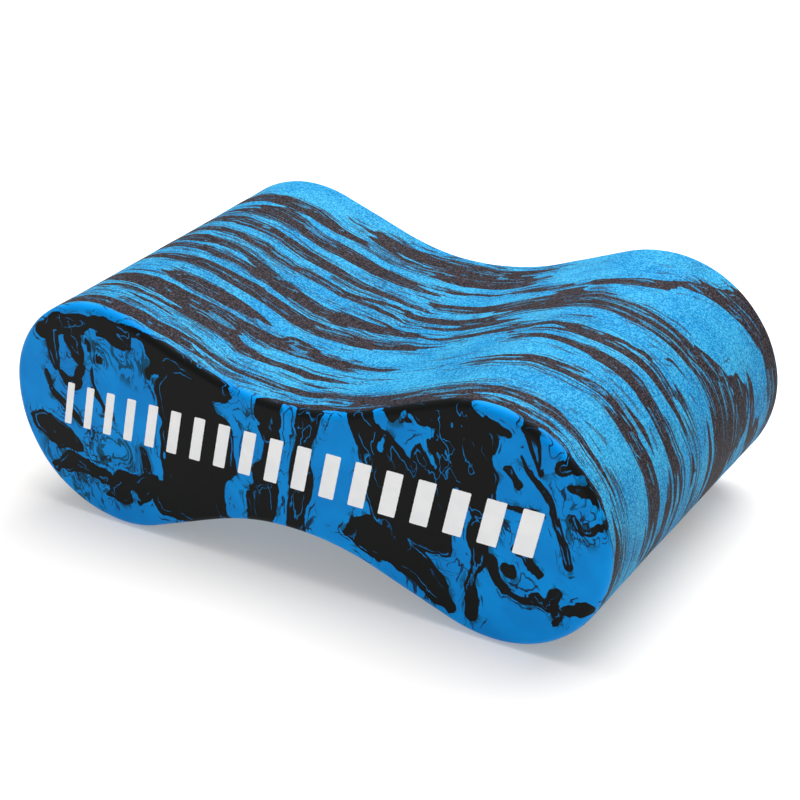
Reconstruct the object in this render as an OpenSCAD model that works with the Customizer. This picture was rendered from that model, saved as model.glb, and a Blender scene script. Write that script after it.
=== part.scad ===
// Pull buoy: a figure-eight float of marbled closed-cell foam.
// Frame: +X along the length, +Y from the printed end face to the rear end face,
// +Z up. The origin is on the ground under the middle of the float.

/* [Float] */
// Overall length, across both lobes
length = 235; // [180:1:260]
// Height of each lobe, which is its diameter
lobe_d = 85; // [70:1:100]
// Thickness of the waist that the thighs hold
waist_t = 47; // [36:1:56]
// Depth from the printed end face to the rear end face
depth = 130; // [90:1:160]
// Slope of the straight flank between a lobe and the waist, as its sine
flank_sine = 0.352; // [0.3:0.001:0.4]
// Radius of the worn edge round each end face
edge_r = 3; // [1:0.5:5]

/* [Lamination] */
// Thickness of the cured adhesive film between the two slabs
film_t = 0.3; // [0.2:0.1:0.6]
// How far the film stays back from the outside of the foam
film_inset = 0.6; // [0.4:0.1:2]

/* [Print] */
// Number of slanted bars in the printed stripe
bar_count = 18; // [6:1:20]
// Width of the narrowest bar
bar_first_w = 3; // [2:0.5:5]
// How much wider each bar is than the one before it
bar_step = 0.25; // [0:0.05:1]
// Gap between two bars
bar_gap = 5.6; // [3:0.1:7]
// Height of the bars
bar_h = 17; // [8:0.5:20]
// Lean of the bars from the vertical, in degrees
bar_lean = 15; // [0:1:25]
// Height of the middle of the stripe above the ground
print_z = 44.5; // [40:0.5:48]
// How deep the ink soaks into the skin of the foam
ink_t = 0.1; // [0.05:0.05:0.2]

/* [Hidden] */
$fn = 128;
R = lobe_d / 2;                  // lobe radius
w = waist_t / 2;                 // half of the waist
a = length / 2 - R;              // lobe centre from the middle
s = flank_sine;
c = sqrt(1 - s * s);             // cosine of the flank's slope
// waist arc radius, so that the arc, the flank and the lobe run on smoothly
Rc = ((a - R * s) * s - R * c * c + w * c) / (1 - c);
x2 = Rc * s;                     // where the flank meets the waist arc
y2 = w + Rc - Rc * c;
flank_l = (a - R * s - x2) / c;
half = depth / 2;
big = 2 * length;
bar_total = bar_count * bar_first_w + bar_step * bar_count * (bar_count - 1) / 2
          + bar_gap * (bar_count - 1);
function bar_w(i) = bar_first_w + bar_step * i;
function bar_x(i) = i == 0 ? -bar_total / 2 : bar_x(i - 1) + bar_w(i - 1) + bar_gap;

// Turns a shape drawn with its outline in XY and its depth in Z so that
// the outline stands up and positive depth points to the printed end face.
module stand() translate([0, 0, R]) rotate([90, 0, 0]) children();

// Section through the outside wall: the wall at x = outer, solid from x = inner,
// with the edge at the far end of the depth rounded. dir is +1 when the
// outside is at the larger x and -1 when it is at the smaller.
module wall_section(inner, outer, z0, z1, r) {
    lo = min(inner, outer);
    hi = max(inner, outer);
    if (r <= 0) translate([lo, z0]) square([hi - lo, z1 - z0]);
    else {
        out = outer > inner;
        translate([out ? lo : outer + r, z0]) square([hi - lo - r, z1 - z0]);
        translate([out ? hi - r : lo, z0]) square([r, z1 - r - z0]);
        translate([out ? hi - r : lo + r, z1 - r]) intersection() {
            circle(r, $fn = 48);
            translate([out ? 0 : -2 * r, 0]) square(2 * r);
        }
    }
}

// One lobe, as far round as the flanks
module lobe(z0, z1, r, inset)
    difference() {
        translate([a, 0, 0]) rotate_extrude() wall_section(0, R - inset, z0, z1, r);
        translate([0, 0, z0 - 1]) linear_extrude(z1 - z0 + 2)
            polygon([[a, 0], [a - 100 * s, 100 * c], [a - 500, 100 * c],
                     [a - 500, -100 * c], [a - 100 * s, -100 * c]]);
    }

// Straight flank over one quarter of the outline
module flank(z0, z1, r, inset)
    intersection() {
        multmatrix([[0, -s, c, x2], [0, c, s, y2], [-1, 0, 0, 0], [0, 0, 0, 1]])
            linear_extrude(flank_l)
                rotate([0, 0, 90]) wall_section(-2 * R, -inset, z0, z1, r);
        translate([0, 0, z0 - 1]) cube([big, big, z1 - z0 + 2]);
    }

// Upper half of the waist, with its hollow
module waist_half(z0, z1, r, inset)
    intersection() {
        translate([0, w + Rc, 0]) rotate_extrude($fn = 360)
            wall_section(Rc + 3 * R, Rc + inset, z0, z1, r);
        translate([0, w + Rc, z0 - 1]) linear_extrude(z1 - z0 + 2)
            polygon([[0, 0], [-200 * s, -200 * c], [200 * s, -200 * c]]);
        translate([-big, 0, z0 - 1]) cube([2 * big, big, z1 - z0 + 2]);
    }

// A slab with the whole outline, from depth z0 to z1, rounded at z1
module slab(z0, z1, r, inset = 0) {
    for (mx = [0, 1]) mirror([mx, 0, 0]) {
        lobe(z0, z1, r, inset);
        for (my = [0, 1]) mirror([0, my, 0]) flank(z0, z1, r, inset);
    }
    for (my = [0, 1]) mirror([0, my, 0]) waist_half(z0, z1, r, inset);
}

// The bars as they lie in the end face, from depth half - ink_t to depth top
module bars(top)
    translate([0, print_z - R, half - ink_t])
        for (i = [0 : bar_count - 1])
            linear_extrude(top - half + ink_t) {
                lean = bar_h / 2 * tan(bar_lean);
                x = bar_x(i);
                polygon([[x - lean, -bar_h / 2], [x + bar_w(i) - lean, -bar_h / 2],
                         [x + bar_w(i) + lean, bar_h / 2], [x + lean, bar_h / 2]]);
            }

// Foam slab with the printed end face
module foam_slab_front() color([0.16, 0.53, 0.82])
    stand() difference() {
        slab(film_t / 2, half, edge_r);
        bars(half + 1);
    }

// Foam slab with the rear end face
module foam_slab_rear() color([0.20, 0.58, 0.86])
    stand() mirror([0, 0, 1]) slab(film_t / 2, half, edge_r);

// Cured adhesive between the two slabs
module bond_film() color([0.75, 0.72, 0.60])
    stand() slab(-film_t / 2, film_t / 2, 0, film_inset);

// Printed stripe of slanted bars, flush with the front end face
module front_print() color([0.93, 0.94, 0.95]) stand() bars(half);

foam_slab_front();
foam_slab_rear();
bond_film();
front_print();
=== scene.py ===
import math
import bpy
import numpy as np
from mathutils import Matrix, Vector


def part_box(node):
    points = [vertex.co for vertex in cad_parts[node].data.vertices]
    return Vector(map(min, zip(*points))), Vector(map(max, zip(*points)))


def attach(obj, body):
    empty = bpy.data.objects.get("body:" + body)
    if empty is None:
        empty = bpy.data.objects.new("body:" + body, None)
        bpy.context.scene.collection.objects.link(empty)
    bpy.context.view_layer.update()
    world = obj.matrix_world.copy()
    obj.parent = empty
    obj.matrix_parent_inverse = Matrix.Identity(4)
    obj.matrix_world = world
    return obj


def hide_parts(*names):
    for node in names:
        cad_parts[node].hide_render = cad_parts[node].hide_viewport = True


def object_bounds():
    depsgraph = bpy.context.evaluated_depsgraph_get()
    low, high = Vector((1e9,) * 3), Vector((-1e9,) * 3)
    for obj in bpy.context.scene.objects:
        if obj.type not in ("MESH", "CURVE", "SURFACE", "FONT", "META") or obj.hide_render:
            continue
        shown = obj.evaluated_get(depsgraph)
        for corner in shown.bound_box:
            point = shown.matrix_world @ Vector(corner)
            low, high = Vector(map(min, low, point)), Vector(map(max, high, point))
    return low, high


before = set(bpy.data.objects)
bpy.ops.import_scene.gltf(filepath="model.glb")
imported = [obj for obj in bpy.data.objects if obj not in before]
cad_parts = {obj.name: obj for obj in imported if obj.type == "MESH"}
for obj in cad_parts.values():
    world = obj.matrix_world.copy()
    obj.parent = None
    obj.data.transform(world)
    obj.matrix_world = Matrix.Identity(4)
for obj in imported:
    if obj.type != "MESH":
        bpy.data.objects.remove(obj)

CAD_LO, CAD_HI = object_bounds()

# ---------------------------------------------------------------- sizes, mm
LO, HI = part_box("foam_slab_front")
LEN = (HI[0] - LO[0]) * 1000.0
HGT = (HI[2] - LO[2]) * 1000.0
DEPTH = (CAD_HI[1] - CAD_LO[1]) * 1000.0
R = HGT / 2.0
A = LEN / 2.0 - R                      # lobe centre from the middle
W = 23.5                               # half of the waist
SN, CS = 0.352, 0.936                  # slope of the straight flank
RC = ((A - R * SN) * SN - R * CS * CS + W * CS) / (1 - CS)
FLANK = (A - R * SN - RC * SN) / CS
PHI = math.asin(SN)
HALF = DEPTH / 2.0
HOLLOW = 0.3                           # the cut wall is this much hollow between the ends
L_LOBE, L_WAIST = R * (math.pi + 2 * PHI), RC * 2 * PHI
PERIM = 2 * L_LOBE + 2 * L_WAIST + 4 * FLANK


def outline(s):
    """Point (x, z) and outward normal at arc length s in mm. s = 0 is the
    right-hand end and s grows over the top towards the left-hand end."""
    s = np.asarray(s, float) % PERIM
    x, z, nx, nz = (np.zeros_like(s) for _ in range(4))
    q = [R * (math.pi / 2 + PHI)]
    for d in (FLANK, L_WAIST, FLANK, L_LOBE, FLANK, L_WAIST, FLANK):
        q.append(q[-1] + d)
    # right lobe, upper part
    m = s <= q[0]
    t = s[m] / R
    x[m], z[m], nx[m], nz[m] = A + R * np.cos(t), R * np.sin(t), np.cos(t), np.sin(t)
    # right upper flank, going down to the left
    m = (s > q[0]) & (s <= q[1])
    d = s[m] - q[0]
    x[m], z[m], nx[m], nz[m] = A - R * SN - d * CS, R * CS - d * SN, -SN, CS
    m = (s > q[1]) & (s <= q[2])
    t = PHI - (s[m] - q[1]) / RC
    x[m], z[m], nx[m], nz[m] = RC * np.sin(t), W + RC - RC * np.cos(t), -np.sin(t), np.cos(t)
    m = (s > q[2]) & (s <= q[3])
    d = s[m] - q[2]
    x[m], z[m], nx[m], nz[m] = -RC * SN - d * CS, W + RC - RC * CS + d * SN, SN, CS
    m = (s > q[3]) & (s <= q[4])
    t = (math.pi / 2 - PHI) + (s[m] - q[3]) / R
    x[m], z[m], nx[m], nz[m] = -A + R * np.cos(t), R * np.sin(t), np.cos(t), np.sin(t)
    m = (s > q[4]) & (s <= q[5])
    d = s[m] - q[4]
    x[m], z[m], nx[m], nz[m] = -A + R * SN + d * CS, -R * CS + d * SN, SN, -CS
    m = (s > q[5]) & (s <= q[6])
    t = PHI - (s[m] - q[5]) / RC
    x[m], z[m], nx[m], nz[m] = -RC * np.sin(t), -(W + RC - RC * np.cos(t)), np.sin(t), -np.cos(t)
    m = (s > q[6]) & (s <= q[7])
    d = s[m] - q[6]
    x[m], z[m], nx[m], nz[m] = RC * SN + d * CS, -(W + RC - RC * CS) - d * SN, -SN, -CS
    m = s > q[7]
    t = (s[m] - PERIM) / R
    x[m], z[m], nx[m], nz[m] = A + R * np.cos(t), R * np.sin(t), np.cos(t), np.sin(t)
    return x, z, nx, nz


# ------------------------------------------------- smooth value noise (numpy)
def hash01(i, j, k, seed):
    n = (i * 73856093) ^ (j * 19349663) ^ (k * 83492791) ^ (seed * 2654435761)
    n = (n ^ (n >> 13)) * 1274126177
    n = n & 0x7FFFFFFF
    return ((n ^ (n >> 16)) & 0xFFFF) / 65535.0


def vnoise(p, seed):
    """Value noise from 0 to 1 at points p (n, 3)."""
    f = np.floor(p)
    i = f.astype(np.int64)
    u = p - f
    u = u * u * u * (u * (u * 6 - 15) + 10)
    out = 0.0
    for dx in (0, 1):
        for dy in (0, 1):
            for dz in (0, 1):
                w = (u[:, 0] if dx else 1 - u[:, 0]) * (u[:, 1] if dy else 1 - u[:, 1]) * (u[:, 2] if dz else 1 - u[:, 2])
                out = out + w * hash01(i[:, 0] + dx, i[:, 1] + dy, i[:, 2] + dz, seed)
    return out


def fbm(p, seed, octaves=4, gain=0.5):
    amp, tot, out = 1.0, 0.0, 0.0
    for o in range(octaves):
        out = out + amp * vnoise(p * (2.03 ** o) + 11.7 * o, seed + o)
        tot += amp
        amp *= gain
    return out / tot


# ------------------------------------------------------------ marbling layout
# Bold features of the marbling, in mm. On the wall: (s, y, half thickness) along
# the outline. On the end face: (x, z, half thickness).
WALL_BLACK = [
    [(15, 64, 4), (35, 58, 5), (47, 48, 3), (60, 39, 1.5), (87, 28, 2), (115, 39, .9), (147, 45, .6)],
    [(115, 56, 1), (155, 53, 2), (190, 48, 5), (205, 43, 4.4), (220, 41, 3), (250, 55, 1.5)],
    [(137, 33, 1), (177, 32, 2), (225, 27, 2.5), (265, 22, 2)],
    [(60, 11, 1), (90, 17, 1.5), (155, 19, 2), (200, 16, 2.5), (222, 17, 4.6), (265, 11, 4)],
    [(-24, 14, 5), (-12, 17, 8), (0, 20, 11), (16, 18, 8), (30, 14, 4), (58, 11, 1)],
    [(-12, 27, .5), (0, 35, .6), (15, 31, .6), (35, 16, .6)],
    [(-20, -5, 4), (28, -6, 3), (77, -7, 3), (95, -1, 5), (110, 6, 4.5), (135, 11, 1)],
    [(-20, -20, 4.2), (15, -17, 5), (50, -14, 4), (85, -10, 4), (100, -5, 3.5), (150, -14, 1.5), (205, -16, 2), (252, -10, 3.5)],
    [(145, -2, 1), (190, -5, 1.5), (240, -8, 3), (262, -6, 4)],
    [(27, -28, .5), (75, -30, 1.5), (112, -26, 3), (130, -30, 2), (162, -28, 4.5), (175, -35, 3), (215, -40, 1.5), (255, -43, 2.5)],
    [(-8, -57, 1.7), (35, -54, 1.9), (80, -56, 1.3), (122, -58, 1.5), (160, -53, 2), (205, -57, 2.5), (250, -60, 3)],
    [(192, -26, .6), (208, -30, 2), (221, -33, .5)],
    [(-12, -38, 1.2), (2, -35, 2.8), (18, -33, 1.2)],
    [(130, -54, .8), (138, -50, 1.4), (149, -48, .5)],
    [(35, 7, .6), (43, 2, 2), (55, 6, 1.4), (66, 3, 2), (80, 0, .8)],
    [(-25, 48, 1.5), (-10, 43, 2), (3, 41, .6)],
]
WALL_BLUE = [
    [(-5, -12, 1.4), (45, -11, 1.2), (66, -10, .8)],
    [(62, 8, 1.2), (78, 8, 2), (90, 6, 1.2)],
    [(185, 45, 1), (201, 47, 2.6), (212, 47, 1)],
]
FACE_BLACK = [
    [(-101, 71, 2), (-90, 76, 3), (-72, 79, 3.4), (-54, 77, 3)],
    [(-77, 74, 1.5), (-69, 75, 3.5), (-61, 73, 2.2)],
    [(-97, 71, 2.5), (-96, 59, 2), (-89, 53, 2), (-85, 61, 2), (-87, 70, 2.8)],
    [(-80, 70, 1.2), (-80, 56, 1.3), (-75, 44, 1.6)],
    [(-101, 55, 1), (-98, 47, 2.6), (-88, 37, 2)],
    [(-110, 36, 2.5), (-104, 33, 5.5), (-94, 29, 3)],
    [(-103, 16, 2), (-94, 20, 2.4), (-80, 17, 2)],
    [(-80, 11, 2), (-71, 14, 5), (-61, 21, 4), (-61, 34, 2.2)],
    [(-54, 64, 2), (-48, 74, 5), (-36, 73, 6), (-25, 67, 5)],
    [(-40, 58, 12), (-38, 44, 13), (-37, 30, 14), (-40, 20, 11)],
    [(-52, 16, 6), (-30, 18, 6), (-28, 50, 6)],
    [(-4, 68, 4.5), (-6, 50, 3), (-9, 34, 4), (-13, 19, 3.5)],
    [(12, 67, 4), (7, 50, 3), (5, 36, 3.5), (2, 21, 3)],
    [(26, 27, 5), (38, 26, 9), (50, 20, 7), (61, 8, 3)],
    [(30, 70, 4), (36, 62, 7), (42, 50, 11), (42, 37, 9)],
    [(44, 75, 4), (62, 80, 6), (74, 73, 6)],
    [(55, 60, 7), (54, 45, 8), (54, 33, 6)],
    [(68, 68, 8), (73, 56, 6), (75, 47, 4)],
    [(73, 39, 3.5), (71, 29, 1.3), (68, 18, 1.8), (68, 8, 1)],
    [(77, 80, 1.4), (83, 77, 2)],
    [(91, 80, 3.2), (93, 73, 2), (95, 66, .8)],
    [(88, 71, 1), (96, 60, 1.4), (101, 47, 1.4), (104, 37, .8)],
    [(84, 65, 1.8), (88, 60, 1)],
    [(101, 70, 1.8), (106, 72, .8)],
    [(104, 64, .5), (109, 64, .9), (113, 62, .5)],
    [(107, 53, .6), (111, 51, 1.8), (114, 53, .6)],
    [(76, 31, .1), (80, 23, .2), (87, 20, .5), (95, 22, .1)],
    [(83.5, 29, 1.0)],
    [(86, 37, .4), (94, 31, .3)],
    [(99, 25, .5), (99, 15, .2)],
    [(103, 19, .2), (110, 23, .6)],
    [(79, 51, 2), (92, 52, 1.5)],
]
FACE_BLUE = [
    [(-72, 57, 6), (-62, 56, 7)],
    [(-54, 47, 4), (-57, 36, 2.4), (-55, 27, .8)],
    [(-58, 75, 2.4), (-56, 70, 2.4)],
    [(-51, 22, 1.5), (-47, 23, 1)],
    [(-13, 66, 3), (-15, 59, 6.5), (-14, 50, 6), (-11, 43, 1.6)],
    [(-16, 36, 3), (-20, 29, 6), (-23, 20, 5)],
    [(8, 63, .9), (2, 52, 1.6), (0, 42, 2), (-3, 30, 2), (-4, 22, 2)],
    [(19, 65, 3), (19, 56, 3.2), (20, 46, 3), (18, 36, 8), (12, 24, 7)],
    [(27, 62, 1.2), (28, 54, 2)],
    [(38, 60, .4), (42, 67, .9), (47, 75, .7)],
    [(63, 81, .5), (70, 71, .8), (71, 60, .6)],
    [(37, 17, 1.8), (45, 12, 1.4)],
    [(50, 74, .9), (57, 61, 1.4), (61, 47, 1.7), (65, 31, 2.2), (63, 19, 3), (68, 8, .9)],
    [(57, 74, .6), (64, 60, 1)],
    [(-69, 15, 1), (-65, 12, 1.6)],
    [(72, 46, 1.7), (79, 45, 1.7)],
]
# Places on the face where the two colours are stirred together finely: (x, z, radius, strength)
FACE_BUSY = [(-74, 69, 7, .9), (-61, 67, 10, 1), (-95, 24, 14, 1), (-76, 29, 12, 1), (-88, 12, 11, .9), (-14, 57, 6, .9),
             (-16, 28, 5, .8), (40, 30, 8, .6), (60, 30, 5, .7), (72, 58, 8, .8), (85, 45, 9, .9), (109, 54, 11, .8),
             (100, 20, 9, .4), (55, 13, 10, .6)]
# Plain patches on the wall: (s, y, radius along s, radius along y)
WALL_PLAIN = [(34, 38, 34, 15), (84, 47, 22, 9), (20, 5, 26, 5), (30, -46, 40, 5), (15, -27, 26, 6)]


def curve(chain, sub):
    """Catmull-Rom points through a chain of (a, b, half thickness)."""
    c = np.array(chain, float)
    if len(c) < 3:
        return c
    p = np.vstack([2 * c[0] - c[1], c, 2 * c[-1] - c[-2]])
    out = []
    for i in range(1, len(p) - 2):
        for t in np.arange(sub) / sub:
            out.append(0.5 * ((2 * p[i]) + (p[i + 1] - p[i - 1]) * t + (2 * p[i - 1] - 5 * p[i] + 4 * p[i + 1] - p[i + 2]) * t * t
                              + (3 * p[i] - p[i - 1] - 3 * p[i + 1] + p[i + 2]) * t ** 3))
    out.append(c[-1])
    return np.array(out)


def blob_distance(a, b, chain):
    """Signed distance in mm to a chain of round-ended strokes on the face."""
    c = curve(chain, 4)
    if len(c) == 1:
        return np.hypot(a - c[0, 0], b - c[0, 1]) - c[0, 2]
    out = np.full(a.shape, 1e3)
    for p, q in zip(c[:-1], c[1:]):
        d = q[:2] - p[:2]
        t = np.clip(((a - p[0]) * d[0] + (b - p[1]) * d[1]) / max(d @ d, 1e-9), 0, 1)
        out = np.minimum(out, np.hypot(a - p[0] - t * d[0], b - p[1] - t * d[1]) - (p[2] + t * (q[2] - p[2])))
    return out


def band_distance(s, y, chain):
    """Signed distance in mm, across the layers, to a long thin band on the wall."""
    c = curve(chain, 8)
    yc, h = np.interp(s, c[:, 0], c[:, 1]), np.interp(s, c[:, 0], c[:, 2])
    over = np.maximum(np.maximum(c[0, 0] - s, s - c[-1, 0]), 0)
    return np.abs(y - yc) - h + 0.22 * over


def random_bands(seed, s0, s1, count):
    rng = np.random.RandomState(seed)
    out = []
    for i in range(count):
        y = -62 + 124 * (i + rng.uniform(-.35, 1.35)) / count
        n = rng.randint(3, 8)
        a = rng.uniform(s0 - 30, s1 - 20)
        h = rng.choice([.6, .9, 1.4, 2.2, 3.4, 5.0], p=[.24, .24, .2, .16, .1, .06])
        chain = []
        for k in range(n):
            f = math.sin(math.pi * (k + .4) / (n - .2))
            chain.append((a, y, max(.35, h * f * rng.uniform(.6, 1.25))))
            a += rng.uniform(10, 24)
            y += rng.uniform(-2.2, 2.2)
        out.append(chain)
    return out


def random_blobs(seed, count):
    rng = np.random.RandomState(seed)
    out = []
    for i in range(count):
        x, z = rng.uniform(-119, 119), rng.uniform(-2, 87)
        n = rng.randint(2, 6)
        th = rng.uniform(0, 2 * math.pi)
        h = rng.choice([.8, 1.6, 3.0, 5.5, 8.0], p=[.26, .26, .22, .16, .1])
        chain = []
        for k in range(n):
            chain.append((x, z, max(.5, h * rng.uniform(.6, 1.2))))
            st = rng.uniform(4, 9) + h * .4
            th += rng.uniform(-.8, .8)
            x, z = x + st * math.cos(th), z + st * math.sin(th)
        out.append(chain)
    return out


def face_layout(x, z, rear):
    if rear:
        sd = np.full(x.shape, 1e3)
        for c in random_blobs(41, 96):
            sd = np.minimum(sd, blob_distance(x, z, c))
        for c in random_blobs(77, 30):
            sd = np.maximum(sd, -blob_distance(x, z, c))
        p = np.stack([x / 17.0, z / 17.0, np.full(x.shape, 3.3)], 1)
        return sd, np.clip((vnoise(p, 5) - .45) * 3.2, 0, 1)
    sd = np.full(x.shape, 1e3)
    for c in FACE_BLACK:
        sd = np.minimum(sd, blob_distance(x, z, c))
    for c in FACE_BLUE:
        sd = np.maximum(sd, -blob_distance(x, z, c))
    busy = np.zeros(x.shape)
    for bx, bz, br, bs in FACE_BUSY:
        busy = np.maximum(busy, bs * np.clip(1.45 - np.hypot(x - bx, z - bz) / br, 0, 1) / 1.0)
    return sd, np.clip(busy, 0, 1)


def wall_layout(s, y):
    s = np.where(s > PERIM / 2 + 30, s - PERIM, s)     # the right lobe's underside is negative
    sd = np.full(s.shape, 1e3)
    for c in WALL_BLACK:
        sd = np.minimum(sd, band_distance(s, y, c))
    for c in WALL_BLUE:
        sd = np.maximum(sd, -band_distance(s, y, c))
    far = np.clip((np.abs(s - 121) - 140) / 22.0, 0, 1)  # beyond the designed stretch
    su = s % PERIM
    sr = np.full(s.shape, 1e3)
    for c in random_bands(19, 235, 575, 44):
        sr = np.minimum(sr, band_distance(su, y, c))
    sd = sd * (1 - far) + np.clip(sr, -12, 12) * far
    busy = 0.55 + 0.45 * (vnoise(np.stack([s / 26.0, y / 7.0, s * 0 + .5], 1), 9) - .5) * 2
    for ps, py, rs, ry in WALL_PLAIN:
        busy = busy * np.clip(np.hypot((s - ps) / rs, (y - py) / ry) - .55, 0, 1)
    return sd, np.clip(busy, 0, 1)


# --------------------------------------------------------------- foam meshes
def swirl(x, z):
    """The block was stirred before it set: small whirls bend everything on the end faces."""
    for cx, cz, rad, turn in ((-71, 28, 11, 1.5), (83, 29.5, 9, 1.2), (-63, 67, 9, -.9), (108, 56, 10, .9), (-16, 57, 8, .8), (46, 33, 10, .9),
                              (-97, 22, 9, -1.1), (100, 20, 8, -1.1)):
        d = np.hypot(x - cx, z - cz)
        a = turn * np.clip(1 - d / rad, 0, 1) ** 2
        c, s = np.cos(a), np.sin(a)
        x, z = cx + c * (x - cx) - s * (z - cz), cz + s * (x - cx) + c * (z - cz)
    return x, z


def build_slab(name, rear):
    side = 1.0 if rear else -1.0
    n = 600
    s = np.arange(n) * PERIM / n
    x0, z0, nx, nz = outline(s)
    rings, meta = [], []               # every ring: n points; meta: wall weight and kind

    # hand-finished edge: its radius wanders a little
    er = 3.0 + 0.35 * (vnoise(np.stack([np.cos(s / PERIM * 6.2832) * 6, np.sin(s / PERIM * 6.2832) * 6, s * 0 + side], 1), 3) - .5) * 2

    def put(off, y, wall):
        """A ring at distance off inside the outline. y is positive towards the end face."""
        yy = np.broadcast_to(np.asarray(y, float), s.shape)
        # the cut wall is very slightly hollow between the two end faces
        o = np.broadcast_to(np.asarray(off, float), s.shape) + (HOLLOW * (1 - (yy / HALF) ** 2) if wall > 0.5 else 0)
        rings.append(np.stack([x0 - nx * o, side * yy, z0 - nz * o + R], 1))
        meta.append(np.full(n, float(wall)))

    # inner, mating face: a lip closes on the other slab round the outside
    spine = np.clip(x0, -A, A)

    def toward_spine(f, y, wall, first):
        base = first.copy()
        px = base[:, 0] + (spine - base[:, 0]) * f
        pz = base[:, 2] + (R - base[:, 2]) * f
        rings.append(np.stack([px, np.full(n, side * y), pz], 1))
        meta.append(np.full(n, float(wall)))

    put(0.8, 0.15, 0.0)
    inner0 = rings[0].copy()
    rings.clear()
    meta.clear()
    for f in (1.0, 0.5, 0.06):
        toward_spine(f, 0.15, 0.0, inner0)
    put(0.35, 0.10, 1.0)
    put(0.06, 0.03, 1.0)
    put(0.0, 0.14, 1.0)
    for y in np.linspace(1.0, HALF - 3.6, 62):
        put(0.0, y, 1.0)
    for k in range(0, 10):
        th = math.pi / 2 * k / 9
        w = 1 - k / 9 * .9
        yy = HALF - er + er * math.sin(th)
        o = er * (1 - math.cos(th)) + HOLLOW * (1 - (yy / HALF) ** 2)
        rings.append(np.stack([x0 - nx * o, side * yy, z0 - nz * o + R], 1))
        meta.append(np.full(n, w))
    outer0 = rings[-1].copy()
    m = 46
    for k in range(1, m + 1):
        f = (k / m) ** 0.93
        toward_spine(f, HALF, 0.0, outer0)
    P = np.concatenate(rings)
    wall = np.concatenate(meta)
    # foam never cuts quite true: shallow hollows, all inward, a tenth of a millimetre or two deep
    nrm = np.stack([nx, nx * 0, nz], 1)
    nrm = np.tile(nrm, (len(rings), 1))
    k1 = fbm(np.stack([P[:, 0] / 19, P[:, 1] / 13, P[:, 2] / 19], 1) + 3.7, 61, 2)
    k2 = fbm(np.stack([P[:, 0] / 5, P[:, 1] / 4, P[:, 2] / 5], 1) + 9.1, 67, 2)
    dent = .17 * k1 + .07 * k2
    on_wall = np.clip(wall, 0, 1) * np.clip((side * P[:, 1] - .9) / 9.0, 0, 1)   # none along the seam
    P = P - nrm * (dent * on_wall)[:, None]
    flat = (wall == 0) & (side * P[:, 1] > HALF - .01)
    P[:, 1] -= side * np.where(flat, .05 * k1 * k2 * 2, 0)
    nr = len(rings)

    # merge the two sides of the spine lines at both ends
    faces = []
    for r in range(nr - 1):
        a = r * n + np.arange(n)
        b = r * n + (np.arange(n) + 1) % n
        quad = np.stack([a, b, b + n, a + n], 1)
        faces.append(quad if rear else quad[:, ::-1])
    F = np.concatenate(faces)
    mesh = bpy.data.meshes.new(name)
    ss = np.tile(s, nr)

    # marbling layout at every point
    x, y, z = P[:, 0], P[:, 1], P[:, 2]
    wx, wz = swirl(x, z)
    wob = np.stack([x / 13.0, y / 60.0, z / 13.0], 1)
    wx = wx + (fbm(wob, 21, 3) - .5) * 3.0
    wz = wz + (fbm(wob + 7.7, 23, 3) - .5) * 3.0
    fsd, fbusy = face_layout(wx, wz, rear)
    q = np.stack([ss / 24.0, y / 9.0, ss * 0 + (4 if rear else 2)], 1)
    wy = y + (fbm(q, 31 + int(rear), 3) - .5) * 2.4
    wsd, wbusy = wall_layout(ss + (fbm(q + 3.1, 37, 2) - .5) * 8, wy)
    t = np.clip((wall - .55) / .45, 0, 1) ** 1.5
    sd = fsd * (1 - t) + wsd * t
    busy = fbusy * (1 - t) + wbusy * t

    verts = P / 1000.0
    mesh.from_pydata(verts.tolist(), [], F.tolist())
    finish = np.clip((wall - .72) / .25, 0, 1)     # the rounded edge has the closed skin of the end face
    for nm, data in (("sd", sd), ("busy", busy), ("wall", finish), ("side", t)):
        at = mesh.attributes.new(nm, "FLOAT", "POINT")
        at.data.foreach_set("value", np.clip(data, -60, 900).astype(np.float32))
    mp = mesh.attributes.new("mp", "FLOAT_VECTOR", "POINT")
    mp.data.foreach_set("vector", np.stack([wx, y, wz], 1).astype(np.float32).ravel())
    ob = bpy.data.objects.new(name, mesh)
    bpy.context.scene.collection.objects.link(ob)

    import bmesh
    bm = bmesh.new()
    bm.from_mesh(mesh)
    first = [v for v in bm.verts if v.index < n]
    last = [v for v in bm.verts if v.index >= (nr - 1) * n]
    bmesh.ops.remove_doubles(bm, verts=first, dist=0.00012)
    bmesh.ops.remove_doubles(bm, verts=last, dist=0.00012)
    bmesh.ops.dissolve_degenerate(bm, dist=1e-7, edges=bm.edges)
    bmesh.ops.recalc_face_normals(bm, faces=bm.faces)
    bm.to_mesh(mesh)
    bm.free()
    for p in mesh.polygons:
        p.use_smooth = True
    return ob


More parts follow.
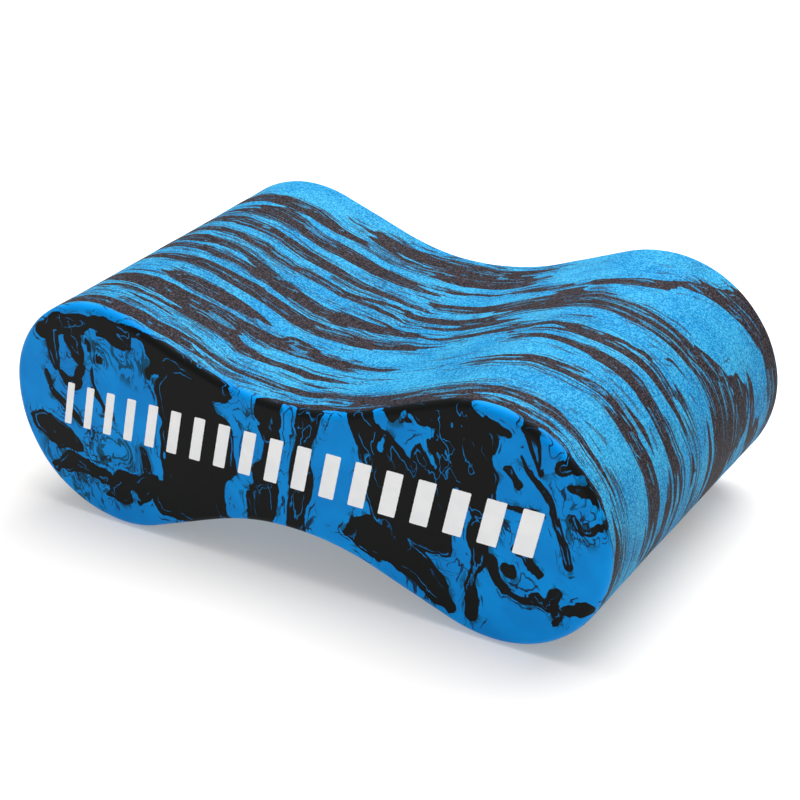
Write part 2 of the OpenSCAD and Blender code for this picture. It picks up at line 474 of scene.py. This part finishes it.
# ------------------------------------------------------------- node building
class Tree:
    """Short names for shader nodes, so that a material reads as a formula."""

    def __init__(self, name):
        self.mat = bpy.data.materials.new(name)
        self.mat.use_nodes = True
        self.t = self.mat.node_tree
        self.t.nodes.clear()

    def node(self, kind, **props):
        nd = self.t.nodes.new(kind)
        for k, v in props.items():
            setattr(nd, k, v)
        return nd

    def feed(self, socket, v):
        if isinstance(v, bpy.types.NodeSocket):
            self.t.links.new(v, socket)
        else:
            socket.default_value = v

    def m(self, op, a, b=0.0, c=0.0, clamp=False):
        nd = self.node("ShaderNodeMath", operation=op, use_clamp=clamp)
        for i, v in enumerate((a, b, c)):
            self.feed(nd.inputs[i], v)
        return nd.outputs[0]

    def add(self, a, b): return self.m("ADD", a, b)
    def sub(self, a, b): return self.m("SUBTRACT", a, b)
    def mul(self, a, b): return self.m("MULTIPLY", a, b)
    def mad(self, a, b, c): return self.m("MULTIPLY_ADD", a, b, c)
    def mn(self, a, b): return self.m("MINIMUM", a, b)
    def mx(self, a, b): return self.m("MAXIMUM", a, b)

    def ramp(self, x, a, b, c=0.0, d=1.0, smooth=True):
        nd = self.node("ShaderNodeMapRange", interpolation_type="SMOOTHSTEP" if smooth else "LINEAR")
        for i, v in enumerate((x, a, b, c, d)):
            self.feed(nd.inputs[i], v)
        return nd.outputs[0]

    def attr(self, name, vector=False):
        nd = self.node("ShaderNodeAttribute", attribute_type="GEOMETRY", attribute_name=name)
        return nd.outputs["Vector"] if vector else nd.outputs["Fac"]

    def v(self, op, a, b=(0, 0, 0), scale=None):
        nd = self.node("ShaderNodeVectorMath", operation=op)
        self.feed(nd.inputs[0], a)
        if op == "SCALE":
            self.feed(nd.inputs[3], scale)
        else:
            self.feed(nd.inputs[1], b)
        return nd.outputs[0]

    def noise(self, vec, scale=1.0, detail=2.0, rough=0.5, dist=0.0, lac=2.0, color=False):
        nd = self.node("ShaderNodeTexNoise", noise_dimensions="3D")
        self.feed(nd.inputs["Vector"], vec)
        for k, val in (("Scale", scale), ("Detail", detail), ("Roughness", rough), ("Lacunarity", lac), ("Distortion", dist)):
            self.feed(nd.inputs[k], val)
        return nd.outputs["Color"] if color else nd.outputs["Fac"]

    def voro(self, vec, scale=1.0, feature="F1", rnd=1.0):
        nd = self.node("ShaderNodeTexVoronoi", voronoi_dimensions="3D", feature=feature)
        self.feed(nd.inputs["Vector"], vec)
        self.feed(nd.inputs["Scale"], scale)
        self.feed(nd.inputs["Randomness"], rnd)
        return nd.outputs["Distance"]

    def mix(self, f, a, b):
        nd = self.node("ShaderNodeMix", data_type="RGBA", clamp_factor=True)
        self.feed(nd.inputs[0], f)
        for sock, v in ((nd.inputs[6], a), (nd.inputs[7], b)):
            self.feed(sock, (*v, 1.0) if isinstance(v, tuple) and len(v) == 3 else v)
        return nd.outputs[2]

    def fmix(self, f, a, b):
        nd = self.node("ShaderNodeMix", data_type="FLOAT", clamp_factor=True)
        self.feed(nd.inputs[0], f)
        self.feed(nd.inputs[2], a)
        self.feed(nd.inputs[3], b)
        return nd.outputs[0]

    def line(self, x, at, half):
        """1 on the contour x = at, 0 away from it."""
        d = self.m("ABSOLUTE", self.sub(x, at))
        return self.ramp(d, self.mul(half, .5), half, 1.0, 0.0)


def lin(r, g, b):
    return tuple((c / 12.92 if c <= .04045 else ((c + .055) / 1.055) ** 2.4) for c in (r / 255, g / 255, b / 255))


def foam_material(name, shift):
    T = Tree(name)
    mp = T.attr("mp", vector=True)             # stirred position, mm
    sd, busy, wall, side = T.attr("sd"), T.attr("busy"), T.attr("wall"), T.attr("side")
    pos = T.node("ShaderNodeTexCoord").outputs["Object"]
    mm = T.v("SCALE", pos, scale=1000.0)       # true position, mm
    p = T.v("ADD", mp, (shift, shift * .37, -shift * .61))

    def centred(vec, k, detail=1.0, rough=.5):
        return T.sub(T.noise(T.v("MULTIPLY", vec, (1 / k[0], 1 / k[1], 1 / k[0])), 1.0, detail, rough), .5)

    # The two colours lie in thin sheets across Y. The stirring lifts and folds the sheets, so
    # they show as long streaks on the wall and as leaves and rings on the end faces.
    tall = T.v("MULTIPLY", p, (1, 1, .5))      # the folds run up and down more than across
    lift = T.mul(centred(p, (38, 70), 1.5), T.fmix(side, 24.0, 10.0))
    fold = T.mul(centred(T.v("ADD", tall, (31, 5, 77)), (10, 26), 2.0, .5), T.fmix(side, 9.0, 2.7))
    fray = T.mul(centred(T.v("ADD", tall, (7, 61, 23)), (3.6, 8), 2.0, .5), T.fmix(side, 3.4, .45))
    up = T.add(T.add(lift, fold), fray)
    cmb = T.node("ShaderNodeCombineXYZ")
    T.feed(cmb.inputs[1], up)
    q = T.v("ADD", p, cmb.outputs[0])          # position measured across the folded sheets

    gate = T.noise(T.v("MULTIPLY", p, (1 / 22, 1 / 7, 1 / 34)), 1.0, 2, .5)
    g1, g2 = T.ramp(gate, .48, .53), T.ramp(gate, .51, .46)
    t = T.mul(centred(q, (95, 7.5), 0.0), 1.0)
    t = T.mad(centred(T.v("ADD", q, (3, 19, 41)), (60, 2.8), 0.0), T.fmix(side, .62, .52), t)
    comb = T.fmix(side, .26, T.ramp(T.noise(T.v("MULTIPLY", p, (1 / 30, 1 / 9, 1 / 30)), 1.0, 1, .5), .5, .66, .02, .14))
    comb = T.mul(comb, T.fmix(side, 1.0, T.ramp(busy, .05, .4, .3, 1.0)))
    t = T.add(T.mul(centred(T.v("ADD", q, (53, 29, 11)), (34, 1.0), 1.0, .5), comb), t)
    amp = T.fmix(side, T.mad(busy, 7.0, 6.0), T.mad(busy, 6.0, T.ramp(busy, 0.0, .45, 6.0, 13.0)))
    base = T.mul(T.mn(T.mx(sd, -9.0), 10.0), T.fmix(side, .95, .62))
    F = T.sub(T.mad(t, amp, base), T.fmix(side, T.mad(busy, .7, .5), 1.15))
    black = T.ramp(F, -.16, .16, 1.0, 0.0)

    # hairlines: level lines of a second set of sheets, here and there
    u = T.mul(centred(T.v("ADD", q, (91, 47, 3)), (80, 3.4), 0.0), 1.0)
    u = T.mad(centred(T.v("ADD", q, (17, 83, 59)), (38, 1.2), 0.0), .5, u)
    e = T.fmix(side, .012, .048)
    lines = T.mx(T.mul(T.line(u, .05, e), g1), T.mul(T.line(u, -.07, e), g2))
    lines = T.mx(lines, T.line(u, .13, T.mul(e, T.ramp(busy, .2, .6))))
    near = T.fmix(side, T.ramp(F, 5.0, 2.2), T.mul(T.ramp(F, 5.4, 2.8), T.ramp(busy, .02, .3, .15, 1.0)))   # none on plain ground
    hair = T.mul(T.mul(lines, near), T.fmix(side, .9, T.mad(busy, .3, .7)))
    # and lines that keep company with the edge of a dark shape for part of its length
    off = T.sub(T.noise(T.v("MULTIPLY", tall, (1 / 7, 1 / 5, 1 / 7)), 1.0, 2, .5), .5)
    F2 = T.mad(off, T.fmix(side, 4.5, 2.5), F)
    gate2 = T.noise(T.v("ADD", T.v("MULTIPLY", p, (1 / 13, 1 / 7, 1 / 17)), (5, 9, 2)), 1.0, 2, .5)
    h1, h2 = T.ramp(gate2, .55, .60), T.ramp(gate2, .44, .39)
    halo = T.mx(T.mul(T.line(F2, 1.4, .34), h1), T.mul(T.line(F2, 2.5, .28), h2))
    halo = T.mx(halo, T.mul(T.line(F2, 2.9, .24), T.mul(h1, T.ramp(busy, .3, .5))))
    hair = T.mx(hair, T.mul(halo, T.fmix(side, .9, .6)))
    black = T.mx(black, hair)
    thread = T.mx(T.mul(T.line(F2, -1.5, .26), h2), T.mul(T.line(F2, -2.7, .22), T.mul(h1, .8)))
    fine = T.line(u, .02, T.mul(e, 1.2))
    thread = T.mx(thread, T.mul(fine, T.mul(T.ramp(F, -.9, -1.2), T.fmix(side, g1, g2))))
    thread = T.mul(thread, T.ramp(F, -6.0, -4.2))
    # half-mixed ground, streaked along the folds
    streak = T.noise(T.v("MULTIPLY", q, (1 / 8, 1 / 1.2, 1 / 12)), 1.0, 3, .6, .4)
    smoke = T.mul(T.ramp(F, 2.4, .2), T.ramp(streak, .54, .59))
    smoke = T.mx(T.mul(smoke, .8), T.mul(T.ramp(busy, .3, .75), T.ramp(streak, .50, .56)))

    # fine grain of the sawn wall
    g_fine = T.noise(mm, 2.0, 0, .5)
    g_mid = T.noise(mm, 1.0, 0, .5)
    grain = T.mad(g_fine, .66, T.mul(g_mid, .34))
    grit = T.mul(T.ramp(grain, .34, .66, -1.0, 1.0, smooth=False), wall)

    face_blue, face_deep, face_black, face_teal = lin(0, 144, 226), lin(0, 133, 214), (.0062, .0070, .0066), lin(4, 66, 88)
    wall_blue, wall_deep, wall_black = lin(44, 147, 193), lin(21, 127, 181), lin(40, 37, 41)
    tone = T.ramp(T.noise(q, .06, 2, .5), .35, .65)
    fb = T.mix(T.mul(smoke, .9), T.mix(tone, face_deep, face_blue), face_teal)
    wb = T.mix(T.mul(smoke, .35), T.mix(tone, wall_deep, wall_blue), lin(27, 76, 102))
    wb = T.mix(T.ramp(grit, 0.0, .9, 0.0, .46), wb, lin(90, 178, 211))
    wb = T.mix(T.ramp(grit, 0.0, -.9, 0.0, .55), wb, lin(9, 80, 132))
    wk = T.mix(T.ramp(grit, 0.0, .9, 0.0, .65), wall_black, lin(80, 70, 76))
    wk = T.mix(T.ramp(grit, 0.0, -.9, 0.0, .65), wk, lin(14, 12, 16))
    blue = T.mix(wall, fb, wb)
    dark = T.mix(T.mul(thread, T.fmix(side, .75, .6)), T.mix(wall, face_black, wk), blue)
    col = T.mix(black, blue, dark)

    # height of the surface, mm: open cells on the wall, a closed skin on the ends
    pit = T.ramp(T.voro(mm, 1.5), .05, .32, -1.0, 0.0)
    hw = T.mad(T.sub(grain, .5), .34, T.mul(pit, .05))
    skin = T.mul(T.sub(T.noise(mm, .6, 3, .55), .5), .05)
    bump = T.node("ShaderNodeBump")
    T.feed(bump.inputs["Height"], T.fmix(wall, skin, hw))
    bump.inputs["Distance"].default_value = 0.001
    bump.inputs["Strength"].default_value = 0.55

    bs = T.node("ShaderNodeBsdfPrincipled")
    T.feed(bs.inputs["Base Color"], col)
    T.feed(bs.inputs["Roughness"], T.fmix(wall, T.mad(T.sub(T.noise(mm, .25, 2, .5), .5), .12, .42), T.mad(grit, .05, .60)))
    T.feed(bs.inputs["Normal"], bump.outputs["Normal"])
    bs.inputs["Specular IOR Level"].default_value = 0.06
    out = T.node("ShaderNodeOutputMaterial")
    T.t.links.new(bs.outputs[0], out.inputs[0])
    return T.mat


def ink_material():
    T = Tree("ink_white")
    pos = T.node("ShaderNodeTexCoord").outputs["Object"]
    mm = T.v("SCALE", pos, scale=1000.0)
    cloud = T.noise(mm, .12, 3, .5)
    speck = T.noise(mm, 1.7, 2, .6)
    col = T.mix(T.ramp(cloud, .35, .65), lin(244, 246, 248), lin(250, 251, 252))
    # tiny voids where the ink did not fill a cell of the foam
    void = T.ramp(T.voro(mm, .55), .055, .09, 1.0, 0.0)
    void = T.mul(void, T.ramp(speck, .52, .6))
    col = T.mix(T.mul(void, .7), col, lin(120, 140, 156))
    h = T.add(T.mul(T.sub(T.noise(mm, .7, 3, .55), .5), .05), T.mul(void, -.05))
    bump = T.node("ShaderNodeBump")
    T.feed(bump.inputs["Height"], h)
    bump.inputs["Distance"].default_value = 0.001
    bump.inputs["Strength"].default_value = 0.5
    bs = T.node("ShaderNodeBsdfPrincipled")
    T.feed(bs.inputs["Base Color"], col)
    T.feed(bs.inputs["Roughness"], T.mad(T.sub(speck, .5), .12, .5))
    T.feed(bs.inputs["Normal"], bump.outputs["Normal"])
    bs.inputs["Specular IOR Level"].default_value = 0.4
    out = T.node("ShaderNodeOutputMaterial")
    T.t.links.new(bs.outputs[0], out.inputs[0])
    return T.mat


def adhesive_material():
    T = Tree("adhesive")
    pos = T.node("ShaderNodeTexCoord").outputs["Object"]
    mm = T.v("SCALE", pos, scale=1000.0)
    streak = T.noise(T.v("MULTIPLY", mm, (.12, 1, .5)), 1.0, 4, .6, .5)
    dots = T.ramp(T.voro(mm, .35), .1, .3, 1.0, 0.0)
    col = T.mix(T.ramp(streak, .35, .65), lin(176, 160, 118), lin(206, 194, 156))
    col = T.mix(T.mul(dots, .4), col, lin(120, 104, 74))
    bump = T.node("ShaderNodeBump")
    T.feed(bump.inputs["Height"], T.add(T.mul(streak, .12), T.mul(dots, -.04)))
    bump.inputs["Distance"].default_value = 0.001
    bump.inputs["Strength"].default_value = 0.6
    bs = T.node("ShaderNodeBsdfPrincipled")
    T.feed(bs.inputs["Base Color"], col)
    T.feed(bs.inputs["Roughness"], T.ramp(streak, .3, .7, .34, .55))
    T.feed(bs.inputs["Normal"], bump.outputs["Normal"])
    out = T.node("ShaderNodeOutputMaterial")
    T.t.links.new(bs.outputs[0], out.inputs[0])
    return T.mat


# --------------------------------------------------------------------- print
def build_print():
    """The slanted bars: thin ink pads with softly rounded corners and rims."""
    import bmesh
    plo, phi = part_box("front_print")
    zc = (plo[2] + phi[2]) * 500.0
    bh = (phi[2] - plo[2]) * 1000.0
    count, first, step, gap, lean = 18, 3.0, 0.25, 5.6, math.tan(math.radians(15))
    total = count * first + step * count * (count - 1) / 2 + gap * (count - 1)
    bm = bmesh.new()
    x = -total / 2
    rng = np.random.RandomState(8)
    for i in range(count):
        w = first + step * i
        quad = [np.array([x - bh / 2 * lean, -bh / 2]), np.array([x + w - bh / 2 * lean, -bh / 2]),
                np.array([x + w + bh / 2 * lean, bh / 2]), np.array([x + bh / 2 * lean, bh / 2])]
        x += w + gap
        cr, pts = .55, []
        for k in range(4):
            c, a, b = quad[k], quad[k - 1], quad[(k + 1) % 4]
            u, v = (a - c) / np.linalg.norm(a - c), (b - c) / np.linalg.norm(b - c)
            p0, p1 = c + u * cr, c + v * cr
            for t in np.linspace(0, 1, 6):
                pts.append((1 - t) ** 2 * p0 + 2 * t * (1 - t) * c + t * t * p1)
            # a long edge is divided, and wanders by a few hundredths of a millimetre
            nxt = b + (c - b) / np.linalg.norm(c - b) * cr
            m = max(2, int(np.linalg.norm(nxt - p1) / .5))
            nrm = np.array([v[1], -v[0]])
            ph = rng.uniform(0, 6.28, 3)
            for t in np.linspace(0, 1, m + 1)[1:-1]:
                d = t * np.linalg.norm(nxt - p1)
                wob = .022 * math.sin(d * 1.9 + ph[0]) + .014 * math.sin(d * 4.3 + ph[1]) + .01 * math.sin(d * 9.1 + ph[2])
                pts.append(p1 + (nxt - p1) * t + nrm * wob * math.sin(math.pi * t) ** .5)
        pts = np.array(pts)
        cen = pts.mean(0)

        def ring(inset, y):
            d = cen - pts
            ln = np.linalg.norm(d, axis=1, keepdims=True)
            q = pts + d / ln * inset
            return [bm.verts.new((a / 1000, y / 1000, zc / 1000 + b / 1000)) for a, b in q]
        levels = [(0, -HALF + .08), (0, -HALF - .018), (.03, -HALF - .030), (.08, -HALF - .034)]
        rs = [ring(*lv) for lv in levels]
        k = len(pts)
        for a, b in zip(rs[:-1], rs[1:]):
            for j in range(k):
                bm.faces.new((a[j], a[(j + 1) % k], b[(j + 1) % k], b[j]))
        bm.faces.new(rs[-1])
        bm.faces.new(rs[0][::-1])
    bmesh.ops.recalc_face_normals(bm, faces=bm.faces)
    mesh = bpy.data.meshes.new("print_bars")
    bm.to_mesh(mesh)
    bm.free()
    ob = bpy.data.objects.new("print_bars", mesh)
    bpy.context.scene.collection.objects.link(ob)
    return ob


# ------------------------------------------------------------------ assemble
slab_f = build_slab("foam_front", False)
slab_r = build_slab("foam_rear", True)
slab_f.data.materials.append(foam_material("foam_marble_front", 0.0))
slab_r.data.materials.append(foam_material("foam_marble_rear", 61.0))
bars = build_print()
bars.data.materials.append(ink_material())
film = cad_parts["bond_film"]
glue = adhesive_material()
for sl in film.material_slots:
    sl.material = glue
if not film.material_slots:
    film.data.materials.append(glue)

for ob, node, slot in ((slab_f, "foam_slab_front", "foam_front"), (slab_r, "foam_slab_rear", "foam_rear"), (bars, "front_print", "ink_white")):
    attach(ob, "root")
    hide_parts(node)

# --------------------------------------------------------------------- stage
def simple(name, col, rough, glow=0.0):
    T = Tree(name)
    bs = T.node("ShaderNodeBsdfPrincipled")
    bs.inputs["Base Color"].default_value = (*col, 1)
    bs.inputs["Roughness"].default_value = rough
    bs.inputs["Specular IOR Level"].default_value = 0.2
    bs.inputs["Emission Color"].default_value = (1, 1, 1, 1)      # a lit table: shadows stay pale
    bs.inputs["Emission Strength"].default_value = glow
    out = T.node("ShaderNodeOutputMaterial")
    T.t.links.new(bs.outputs[0], out.inputs[0])
    return T.mat


fm = bpy.data.meshes.new("floor")
fm.from_pydata([(-8, -8, 0), (8, -8, 0), (8, 8, 0), (-8, 8, 0)], [], [(0, 1, 2, 3)])
floor = bpy.data.objects.new("floor", fm)
bpy.context.scene.collection.objects.link(floor)
fm.materials.append(simple("floor_paper", (.62, .606, .59), .9, .28))

world = bpy.data.worlds.new("studio")
bpy.context.scene.world = world
world.use_nodes = True
wt = world.node_tree
bg = wt.nodes["Background"]
bg.inputs[0].default_value = (1, 1, 1, 1)
tc = wt.nodes.new("ShaderNodeTexCoord")
sx = wt.nodes.new("ShaderNodeSeparateXYZ")
wt.links.new(tc.outputs["Generated"], sx.inputs[0])


def ramp(axis, x0, x1, v0, v1):
    nd = wt.nodes.new("ShaderNodeMapRange")
    nd.interpolation_type = "SMOOTHSTEP"
    wt.links.new(sx.outputs[axis], nd.inputs[0])
    for i, v in enumerate((x0, x1, v0, v1)):
        nd.inputs[i + 1].default_value = v
    return nd.outputs[0]


lit = wt.nodes.new("ShaderNodeMath")           # brightest overhead, and darker to the far right
lit.operation = "MULTIPLY"
wt.links.new(ramp(2, -.05, .85, .20, .60), lit.inputs[0])
wt.links.new(ramp(0, -.5, .7, 1.05, .86), lit.inputs[1])
wt.links.new(lit.outputs[0], bg.inputs[1])


def area(name, loc, target, size, power):
    li = bpy.data.lights.new(name, "AREA")
    li.shape, li.size, li.energy = "SQUARE", size, power
    ob = bpy.data.objects.new(name, li)
    bpy.context.scene.collection.objects.link(ob)
    ob.location = loc
    ob.rotation_mode = "QUATERNION"
    ob.rotation_quaternion = (Vector(loc) - Vector(target)).to_track_quat("Z", "Y")
    return ob


area("key_top", (.13, .30, 1.10), (0, 0, .04), 1.25, 25.0)

# -------------------------------------------------------------------- camera
az, el, roll = math.radians(33.68), math.radians(27.64), math.radians(-2.88)
S = 0.235
back = Vector((math.sin(az) * math.cos(el), -math.cos(az) * math.cos(el), math.sin(el)))
right = Vector((math.cos(az), math.sin(az), 0))
up = back.cross(right)
r2 = right * math.cos(roll) + up * math.sin(roll)
u2 = up * math.cos(roll) - right * math.sin(roll)
cam = bpy.data.cameras.new("photo_view")
cam_ob = bpy.data.objects.new("photo_view", cam)
bpy.context.scene.collection.objects.link(cam_ob)
cam.sensor_width = 36.0
cam.lens = 1893.43 / 800 * 36.0
cam.clip_start, cam.clip_end = 0.01, 50.0
place = Vector((0.0118 * S, 0, 0.1635 * S)) + back * (2.8287 * S)
cam_ob.matrix_world = Matrix((
    (r2.x, u2.x, back.x, place.x),
    (r2.y, u2.y, back.y, place.y),
    (r2.z, u2.z, back.z, place.z),
    (0, 0, 0, 1)))
bpy.context.scene.camera = cam_ob
bpy.context.scene.view_settings.view_transform = "Standard"
